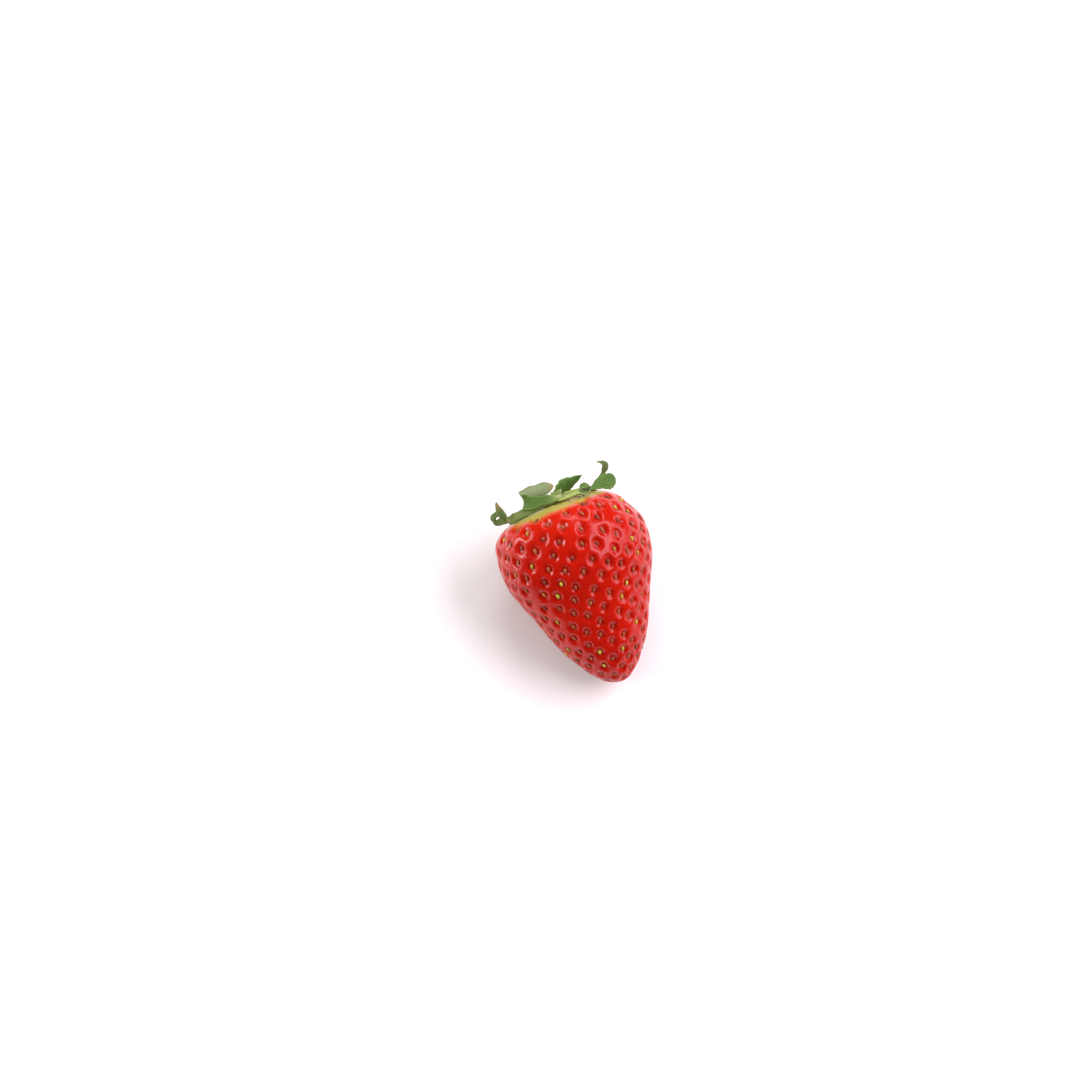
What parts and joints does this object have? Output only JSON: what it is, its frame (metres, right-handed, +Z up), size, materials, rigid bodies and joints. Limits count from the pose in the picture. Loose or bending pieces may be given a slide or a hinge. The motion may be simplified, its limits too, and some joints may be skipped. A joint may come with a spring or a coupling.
{
  "type": "strawberry",
  "caption": "Ripe whole strawberry with its leafy calyx and a stub of stalk, lying on a small flat spot of its flank.",
  "frame": {"origin": "centre of the small flat spot on the lower flank, where the berry rests", "axes": "+Y level, along the berry from its tip to its calyx; +Z up, out of the resting surface; +X to the right of the upper flank, seen with the calyx away from the viewer"},
  "size_m": [0.0384, 0.0525, 0.0345],
  "materials": {
    "fruit_skin": "gloss",
    "calyx": "matte",
    "sepal": "matte",
    "bractlet": "matte",
    "stalk": "matte",
    "achene": "satin",
    "stamen": "matte"
  },
  "bodies": {
    "root": {"fruit": "fruit_skin", "calyx_base": "calyx", "stalk_stub": "stalk", "sepal_upper_left": "sepal", "sepal_upper_right": "sepal", "sepal_right": "sepal", "sepal_lower_right": "sepal", "sepal_lower_left": "sepal", "bractlet_upper_left": "bractlet", "bractlet_left": "bractlet", "bractlet_right": "bractlet", "bractlet_lower_left": "bractlet", "bractlet_lower_right": "bractlet"}
  },
  "joints": []
}
